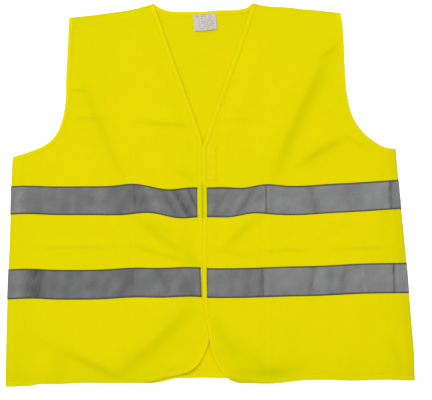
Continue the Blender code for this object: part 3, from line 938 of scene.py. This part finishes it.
def make_band(name, which, side):
    x, y = band_grid(which, side)
    v = y - BAND_Y[which]
    across = np.clip(np.abs(v) / (BAND_WIDTH / 2 + BAND_SPARE), 0, 1)
    swell = 0.00022 * (1 - across**6)
    dents = 0.00045 * (ripples(x, y, 0.018, 21) - 0.5) * (1 - across**4)
    puckers = 0.00010 * np.sin(2 * math.pi * x / 0.0064) * across**3
    wrap = smooth((np.abs(x) - outer_x(y) + 0.0010) / 0.0015)
    over_tape = 0.0004 * smooth((front_x(y) + TAPE_WIDTH + 0.0016 - np.abs(x)) / 0.0016) * abs(side)
    puff = (swell + dents + puckers) * (1 - wrap) - 0.0007 * wrap + over_tape
    uv = np.stack([x, v + BAND_WIDTH / 2], -1)
    if side:
        top = lay(x, y, "front", BAND_HIGH + puff)
        bottom = lay(x, y, "front", BAND_LOW - 0.0006 * wrap + over_tape)
    else:
        top, bottom = lay(x, y, "back", -BAND_LOW), lay(x, y, "back", -0.0006)
    piece = sheet_skin(name, top, bottom, uv, REFLECTIVE)
    # Painted light of the band, with painted shade where it wraps over the outer edge.
    point_values(piece, "tape_light_and_tone", band_light_and_tone(which, x, v) * (1 - 0.8 * wrap))
    return piece


bands = {"left": [], "right": [], "back": []}
for which in BAND_Y:
    for side_name, side in SIDES.items():
        band = make_band(f"{which}_band_{side_name}", which, side)
        fold_with_front(band)
        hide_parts(f"{which}_band_{side_name}_front", f"{which}_band_{side_name}_side")
        bands[side_name].append(band)
    band = make_band(f"{which}_band_behind", which, 0)
    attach(band, "root")
    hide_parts(f"{which}_band_back")
    bands["back"].append(band)
print("bands", BAND_Y, "m, width", round(BAND_WIDTH, 4))

# %% [markdown]
# ## Folded edge tape
# Every raw edge is closed by a tape folded in half over it. Its section is a flat U with a round
# nose. Carrying that section along the edge gives a closed tube, with its two ends filled.


# %% Tape section and tube
def tape_section():
    """(distance in from the edge, height) points round the folded tape, upper leg first."""
    upper = np.array(
        [
            (TAPE_WIDTH + 0.0002, 0.00020),
            (TAPE_WIDTH - 0.0004, 0.00034),
            (TAPE_WIDTH - 0.0016, 0.00044),
            (0.0040, 0.00056),
            (0.0020, 0.00064),
            (0.0004, 0.00064),
            (-0.00045, 0.00048),
            (-0.00075, 0.00018),
        ]
    )
    return np.vstack([upper, upper[::-1] * (1, -1)])


def left_normals(path):
    """Unit normals on the left of a path, from the mean direction of the runs at each point."""
    runs = np.gradient(path, axis=0)
    runs = runs / np.linalg.norm(runs, axis=1)[:, None]
    return np.stack([-runs[:, 1], runs[:, 0]], -1)


def tube(rings, uv):
    """Points, quads and UVs of a closed tube through rings of an even number of points."""
    count, around = rings.shape[:2]
    faces = grid_faces(count, around, wrap=True)
    q = np.arange(around // 2 - 1)
    near = np.stack([q + 1, q, around - 1 - q, around - 2 - q], -1)
    far = near[:, ::-1] + (count - 1) * around
    faces = np.vstack([faces, near, far])
    return rings.reshape(-1, 3), outward(rings.reshape(-1, 3), faces), uv.reshape(-1, 2)


def outward(points, faces):
    """Turns the faces over if the volume they enclose, summed as tetrahedra, comes out negative."""
    a, b, c, d = (points[faces[:, i]] for i in range(4))
    volume = (np.cross(a, b) * c).sum() + (np.cross(a, c) * d).sum()
    return faces if volume > 0 else faces[:, ::-1]


def merged(parts):
    """Several (points, faces, uv) put into one, with the face numbers moved along."""
    starts = np.cumsum([0] + [len(part[0]) for part in parts[:-1]])
    points = np.vstack([part[0] for part in parts])
    faces = np.vstack([part[1] + start for part, start in zip(parts, starts)])
    return points, faces, np.vstack([part[2] for part in parts])


def even_path(path, step):
    """The path again with its points one step apart, by interpolating along its length."""
    path = np.asarray(path, float)
    run = np.concatenate([[0], np.cumsum(np.linalg.norm(np.diff(path, axis=0), axis=1))])
    at = np.linspace(0, run[-1], max(int(round(run[-1] / step)) + 1, 3))
    return np.stack([np.interp(at, run, path[:, i]) for i in (0, 1)], -1), at


def tape_run(path, layer):
    """Folded tape along an edge, the cloth on the path's left, a little pinched at each stitch."""
    path, at = even_path(path, 0.0020)
    section = tape_section()
    normals = left_normals(path)
    points = path[:, None, :] + normals[:, None, :] * section[None, :, :1]
    pinch = 1 + 0.05 * np.sin(2 * math.pi * at / 0.0093)[:, None]
    rings = lay(points[..., 0], points[..., 1], layer, section[None, :, 1] * pinch)
    round_section = np.concatenate([[0], np.cumsum(np.linalg.norm(np.diff(section, axis=0), axis=1))])
    uv = np.stack(np.broadcast_arrays(at[:, None], round_section[None, :]), -1)
    return tube(rings, uv)


def mirrored(path, side):
    """The path on the right, or on the left, where it also runs the other way round."""
    return path if side > 0 else path[::-1] * (-1, 1)


def front_path(side):
    """The bound edge of a front: down the V and the front edge, round the corner, along the hem."""
    turn = np.linspace(math.pi / 2, 0, 40)
    corner_y = HEM_Y + CORNER_Y * (1 - np.cos(turn))
    y = np.concatenate([V_NECK[:, 1], corner_y])
    path = np.column_stack([front_x(y), y])
    return mirrored(np.vstack([path, [(HEM_X - 0.0006, HEM_Y)]]), side)


# %% Make the edge tapes
def edge_tape(name, parts):
    points, faces, uv = merged(parts)
    piece = mesh_object(name, points, faces, EDGE_TAPE, uv)
    return piece


def nose_shade(points, uv):
    """Shade on a front's tape: its nose between the ends of a band, and all of it along the hem."""
    nose = np.exp(-(((uv[:, 1] - uv[:, 1].max() / 2) / 0.0030) ** 2)) * (np.abs(points[:, 0]) < 0.02)
    upper, lower = (
        smooth(1 - (np.abs(points[:, 1] - BAND_Y[which]) - BAND_WIDTH / 2) / 0.012) for which in BAND_Y
    )
    at_hem = np.exp(-(((points[:, 1] - HEM_Y) / 0.014) ** 2))
    hem = at_hem * (0.20 + 0.35 * bump(points[:, 0], 0, 0.062, 0, 0.034, 1))
    return (0.62 * upper + 0.24 * lower) * nose + hem


edges = {"left": [], "right": [], "back": []}
NECK_PATH = np.vstack([BACK_NECK, BACK_NECK[-2::-1] * (-1, 1)])
HEM_PATH = np.array([(-HEM_X + 0.0006, HEM_Y), (HEM_X - 0.0006, HEM_Y)])
for side_name, side in SIDES.items():
    run = tape_run(front_path(side), "front")
    tape = edge_tape(f"{side_name}_edge_tape", [run])
    # Painted shade on the front tape's nose between the band ends, and along the hem.
    point_values(tape, "painted_shade", nose_shade(run[0], run[2]), copies=1)
    fold_with_front(tape)
    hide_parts(f"{side_name}_front_binding", f"{side_name}_side_hem_binding")
    edges[side_name].append(tape)
    arm = mirrored(ARMHOLE, side)
    tape = edge_tape(f"{side_name}_armhole_tape", [tape_run(arm, "front"), tape_run(arm, "back")])
    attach(tape, "root")
    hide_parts(f"{side_name}_armhole_binding")
    edges[side_name].append(tape)
for name, path in (("back_neck", NECK_PATH), ("back_hem", HEM_PATH)):
    tape = edge_tape(f"{name}_tape", [tape_run(path, "back")])
    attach(tape, "root")
    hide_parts(f"{name}_binding")
    edges["back"].append(tape)
print("edge tapes:", sum(len(found) for found in edges.values()))

# %% [markdown]
# ## Stitches
# Lockstitch shows as a row of short threads that rise out of the cloth and dive back in. There are
# thousands, so each has only a few dozen faces, and whole rows are computed as one array.

# %% Stitch rows
STITCH_PITCH, STITCH_LENGTH, THREAD_RADIUS = 0.0031, 0.0024, 0.00019


def stitch_row(path, inset, layer, lift, under=False):
    """A row of stitches on the left of a path: rings along each thread, high in its middle."""
    path, _ = even_path(path, 0.002)
    path = path + left_normals(path) * inset
    middle, _ = even_path(path, STITCH_PITCH)
    along = np.stack([left_normals(middle)[:, 1], -left_normals(middle)[:, 0]], -1)
    run = np.array([-0.5, -0.28, 0.28, 0.5]) * STITCH_LENGTH
    swell = np.array([0.55, 1.0, 1.0, 0.55]) * THREAD_RADIUS
    rise = np.array([-0.00028, 0.00004, 0.00004, -0.00028])
    turn = np.arange(6) * math.pi / 3
    side_step = swell[:, None] * np.cos(turn)
    up_step = rise[:, None] + swell[:, None] * np.sin(turn)
    normals = left_normals(middle)
    points = (
        middle[:, None, None, :]
        + along[:, None, None, :] * run[None, :, None, None]
        + normals[:, None, None, :] * side_step[None, :, :, None]
    )
    sign = -1 if under else 1
    rings = lay(points[..., 0], points[..., 1], layer, sign * (lift + up_step[None]))
    count = len(middle)
    one_faces = tube(rings[0], np.zeros(rings.shape[1:3] + (2,)))[1]
    starts = np.arange(count)[:, None, None] * rings.shape[1] * rings.shape[2]
    faces = (one_faces[None] + starts).reshape(-1, 4)
    one_uv = np.stack(np.broadcast_arrays(run[:, None], turn[None, :]), -1).reshape(-1, 2)
    return rings.reshape(-1, 3), faces, np.tile(one_uv, (count, 1))


def box_path(low_x, high_x, low_y, high_y):
    """A rectangle run round with its inside on the left."""
    return np.array([(low_x, low_y), (high_x, low_y), (high_x, high_y), (low_x, high_y), (low_x, low_y)])


def stitching(name, rows, finish):
    points, faces, uv = merged(rows)
    piece = mesh_object(name, points, faces, finish, uv)
    return piece


ON_TAPE, ON_BAND, NEEDLE_IN, BAND_NEEDLE_IN = 0.00048, 0.00070, 0.0054, 0.0020


def band_edge_paths(which, side):
    """The two long edges and the inner end of a band, each with the band on its left."""
    low, high = BAND_Y[which] - BAND_WIDTH / 2, BAND_Y[which] + BAND_WIDTH / 2
    near = FRONT_X + TAPE_WIDTH if side else -float(outer_x(high)) + 0.003
    y = np.linspace(low, high, 12)
    paths = [
        np.array([(near, low), (float(outer_x(low)) - 0.003, low)]),
        np.array([(float(outer_x(high)) - 0.003, high), (near, high)]),
    ]
    if side:
        paths.append(np.column_stack([front_x(y[::-1]) + TAPE_WIDTH, y[::-1]]))
    return [mirrored(path, side) if side else path for path in paths]


sewing = {"left": [], "right": [], "back": []}
for side_name, side in SIDES.items():
    rows = [stitch_row(front_path(side), NEEDLE_IN, "front", ON_TAPE)]
    rows.append(stitch_row(mirrored(ARMHOLE[4:-3], side), NEEDLE_IN, "front", ON_TAPE))
    seam_rows = stitching(f"{side_name}_edge_stitching", rows, THREAD)
    rows = [
        stitch_row(path, BAND_NEEDLE_IN, "front", ON_BAND)
        for which in BAND_Y
        for path in band_edge_paths(which, side)
    ]
    band_rows_piece = stitching(f"{side_name}_band_stitching", rows, GREY_THREAD)
    for piece in (seam_rows, band_rows_piece):
        fold_with_front(piece)
        sewing[side_name].append(piece)
rows = [stitch_row(path, NEEDLE_IN, "back", ON_TAPE) for path in (NECK_PATH, HEM_PATH)]
below = [HEM_PATH, NECK_PATH] + [mirrored(ARMHOLE[4:-3], side) for side in (1, -1)]
rows += [stitch_row(path, NEEDLE_IN, "back", ON_TAPE - 0.0001, under=True) for path in below]
sewing["back"].append(stitching("back_edge_stitching", rows, THREAD))
rows = [
    stitch_row(path, BAND_NEEDLE_IN, "back", 0.00056, under=True)
    for which in BAND_Y
    for path in band_edge_paths(which, 0)
]
sewing["back"].append(stitching("back_band_stitching", rows, GREY_THREAD))
for piece in sewing["back"]:
    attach(piece, "root")
print("faces in stitches:", sum(len(piece.data.polygons) for found in sewing.values() for piece in found))

# %% [markdown]
# ## Side and shoulder seams
# The allowances of the seams are turned in between the layers. They show only from inside, so a
# plain doubled ribbon that follows the seam is enough.


# %% Seam allowances
def seam_allowance(name, x, y):
    """A ribbon half-way between the layers: the mean of where the front and the back lie there."""
    middle = (lay(x, y, "front") + lay(x, y, "back")) / 2
    thick = np.array([0, 0, 0.00012])
    piece = sheet_skin(name, middle + thick, middle - thick, np.stack([x, y], -1), KNIT)
    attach(piece, "root")
    return piece


ALLOWANCE = 0.010
inset = np.linspace(0.0004, ALLOWANCE, 7)[None, :]
for side_name, side in SIDES.items():
    low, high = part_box(f"{side_name}_side_seam")
    y = np.linspace(float(low[1]), float(high[1]), 120)[:, None] + 0 * inset
    piece = seam_allowance(f"{side_name}_side_allowance", side * (outer_x(y) - inset), y)
    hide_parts(f"{side_name}_side_seam")
    low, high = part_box(f"{side_name}_shoulder_seam")
    reach = sorted(abs(float(corner[0])) for corner in (low, high))
    x = np.linspace(reach[0], reach[1], 50)[:, None] + 0 * inset
    piece = seam_allowance(f"{side_name}_shoulder_allowance", side * x, back_top(x) - inset)
    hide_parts(f"{side_name}_shoulder_seam")

# %% [markdown]
# ## Neck label
# A satin label is caught under the neck tape by its top edge only, so it lies a little askew and
# its free end lifts.

# %% Label
low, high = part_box("neck_label")
LABEL_SIZE = (float(high[0] - low[0]), float(high[1] - low[1]))
LABEL_TOP = float(high[1]) + 0.0030
LABEL_LEAN, LABEL_TURN = math.radians(4.5), math.radians(2.2)
LABEL_DROP = 0.94 * LABEL_SIZE[1]
u, v = np.meshgrid(np.linspace(-0.5, 0.5, 33), np.linspace(0, 1, 27))
run, drop = u * LABEL_SIZE[0], v * LABEL_DROP
label_x = 0.0016 + run * math.cos(LABEL_TURN) + drop * math.sin(LABEL_LEAN)
label_y = LABEL_TOP - drop * math.cos(LABEL_LEAN) + run * math.sin(LABEL_TURN)
curl = 0.0003 * smooth(v * 2) + 0.0014 * v**2 * (0.6 + 0.4 * np.cos(2 * u)) + 0.0004 * np.sin(7 * u + 1) * v
uv = np.stack([run + LABEL_SIZE[0] / 2, LABEL_SIZE[1] - v * LABEL_SIZE[1]], -1)
label = sheet_skin(
    "care_label",
    lay(label_x, label_y, "back", 0.00084 + curl),
    lay(label_x, label_y, "back", 0.00062 + curl),
    uv,
    LABEL,
)
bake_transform(label)
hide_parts("neck_label")

# %% [markdown]
# ## Hook and loop patches
# The fronts close with a patch of loops on one and a patch of hooks under the other. The nap is a
# softly uneven pad. The hooks are real little bent pegs in rows, with a few faces each.


# %% Patches
def patch_grid(node, cells):
    """Pattern grid over the rectangle that a patch's plain solid covers."""
    low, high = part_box(node)
    x = np.linspace(float(low[0]), float(high[0]), cells[0])[None, :]
    y = np.linspace(float(low[1]), float(high[1]), cells[1])[:, None]
    x, y = np.broadcast_arrays(x, y)
    rim = np.minimum(np.minimum(x - x.min(), x.max() - x), np.minimum(y - y.min(), y.max() - y))
    return x, y, rim


x, y, rim = patch_grid("loop_patch", (34, 110))
nap = 0.00026 + smooth(rim / 0.0030) * (0.00016 + 0.00018 * ripples(x, y, 0.0021, 31))
loop_patch = sheet_skin(
    "loop_pad", lay(x, y, "front", nap + 0.0001), lay(x, y, "front", 0.00024), np.stack([x, y], -1), LOOP
)
x, y, rim = patch_grid("hook_patch", (20, 60))
web = 0.0002 + 0.00035 * smooth(rim / 0.0008)
hook_web = sheet_skin(
    "hook_web", lay(x, y, "front", -0.00022), lay(x, y, "front", -0.00022 - web), np.stack([x, y], -1), HOOK
)


def hook_field(x_range, y_range, pitch):
    """Rows of pegs under the front: four square rings each, the last one carried over sideways."""
    x = np.arange(x_range[0] + 0.0022, x_range[1] - 0.0020, pitch)
    y = np.arange(y_range[0] + 0.0026, y_range[1] - 0.0024, pitch)
    centre = np.stack(np.meshgrid(x, y), -1).reshape(-1, 2)
    bend = np.array([0.0, 0.0, 0.00012, 0.00034])
    drop = np.array([0.0005, 0.00085, 0.00108, 0.00098])
    width = np.array([0.00014, 0.00011, 0.0001, 0.00006])
    turn = np.arange(4) * math.pi / 2 + math.pi / 4
    points = np.empty((len(centre), 4, 4, 2))
    points[..., 0] = centre[:, None, None, 0] + bend[None, :, None] + width[None, :, None] * np.cos(turn)
    points[..., 1] = centre[:, None, None, 1] + width[None, :, None] * np.sin(turn)
    rings = lay(points[..., 0], points[..., 1], "front", -drop[None, :, None])
    one = tube(rings[0], np.zeros((4, 4, 2)))[1]
    faces = (one[None] + np.arange(len(centre))[:, None, None] * 16).reshape(-1, 4)
    return rings.reshape(-1, 3), faces, np.zeros((len(centre) * 16, 2))


low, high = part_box("hook_patch")
points, faces, uv = hook_field((float(low[0]), float(high[0])), (float(low[1]), float(high[1])), 0.0015)
hooks = mesh_object("hook_pegs", points, faces, HOOK, uv)
patch_rows = {}
for node, layer_lift in (("loop_patch", 0.00040), ("hook_patch", 0.00022)):
    low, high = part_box(node)
    around = box_path(float(low[0]), float(high[0]), float(low[1]), float(high[1]))
    patch_rows[node] = stitch_row(around, 0.0014, "front", layer_lift)
loop_sewing = stitching("loop_stitching", [patch_rows["loop_patch"]], THREAD)
hook_sewing = stitching("hook_stitching", [patch_rows["hook_patch"]], THREAD)
for piece, side_name, slot_name in (
    (loop_patch, "right", "loop_tape"),
    (loop_sewing, "right", "loop_tape"),
    (hook_web, "left", "hook_tape"),
    (hooks, "left", "hook_tape"),
    (hook_sewing, "left", "hook_tape"),
):
    fold_with_front(piece)
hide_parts("loop_patch")
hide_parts("hook_patch")
print("hooks:", len(hooks.data.polygons) // 14)

# %% [markdown]
# ## Pieces that go with each front
# The three panels are sheets of cloth. For each front, its bands, front edge tape, stitching and
# closing patch are gathered in a list.

for side_name in SIDES:
    with_front = bands[side_name] + [edges[side_name][0]] + sewing[side_name]
    with_front += [loop_patch, loop_sewing] if side_name == "right" else [hook_web, hooks, hook_sewing]

# %% [markdown]
# ## Table, light and camera
# A pale table and a broad, soft light from the upper left show the shallow folds without hard
# shadows. The camera looks straight down through a long lens, so that both sides look alike.

# %% Table
floor_mesh = bpy.data.meshes.new("floor")
reach = 4.0
corners = [(-reach, -reach, 0), (reach, -reach, 0), (reach, reach, 0), (-reach, reach, 0)]
floor_mesh.from_pydata(corners, [], [(0, 1, 2, 3)])
floor = bpy.data.objects.new("floor", floor_mesh)
bpy.context.scene.collection.objects.link(floor)
FLOOR, tree, shader, _, _ = new_material("pale_table", 0.9, 0.0)
shader.inputs["Base Color"].default_value = (0.90, 0.90, 0.90, 1)
shader.inputs["Emission Color"].default_value = (1, 1, 1, 1)
shader.inputs["Emission Strength"].default_value = 0.35
behind = put(tree, "ShaderNodeNewGeometry").outputs["Backfacing"]
clear = put(tree, "ShaderNodeBsdfTransparent")
either = put(tree, "ShaderNodeMixShader", {0: behind, 1: shader.outputs[0], 2: clear.outputs[0]})
tree.links.new(either.outputs[0], tree.nodes["Material Output"].inputs["Surface"])
floor_mesh.materials.append(FLOOR)


# %% Light
def area_light(name, place, size, power):
    """A square lamp that faces the middle of the vest."""
    data = bpy.data.lights.new(name, "AREA")
    data.shape, data.size, data.energy = "SQUARE", size, power
    lamp = bpy.data.objects.new(name, data)
    lamp.location = place
    away = lamp.location.normalized()
    lamp.rotation_euler = away.to_track_quat("Z", "Y").to_euler()
    bpy.context.scene.collection.objects.link(lamp)


area_light("soft_key", (-2.6, 2.6, 4.4), 4.6, 205.0)
area_light("overhead_fill", (0.3, -0.2, 5.0), 4.0, 100.0)
world = bpy.data.worlds.new("studio")
world.use_nodes = True
world.node_tree.nodes["Background"].inputs["Color"].default_value = (0.97, 1, 0.98, 1)
world.node_tree.nodes["Background"].inputs["Strength"].default_value = 0.54
bpy.context.scene.world = world
bpy.context.scene.view_settings.view_transform = "Standard"
bpy.context.scene.view_settings.look = "None"

# %% Camera
CAMERA_HEIGHT, VIEW_WIDTH = 3.0, 0.756
camera_data = bpy.data.cameras.new("camera")
camera_data.sensor_width = 36.0
camera_data.lens = camera_data.sensor_width * CAMERA_HEIGHT / VIEW_WIDTH
camera = bpy.data.objects.new("camera", camera_data)
camera.location = (0.0219, -0.0108, CAMERA_HEIGHT)
bpy.context.scene.collection.objects.link(camera)
bpy.context.scene.camera = camera
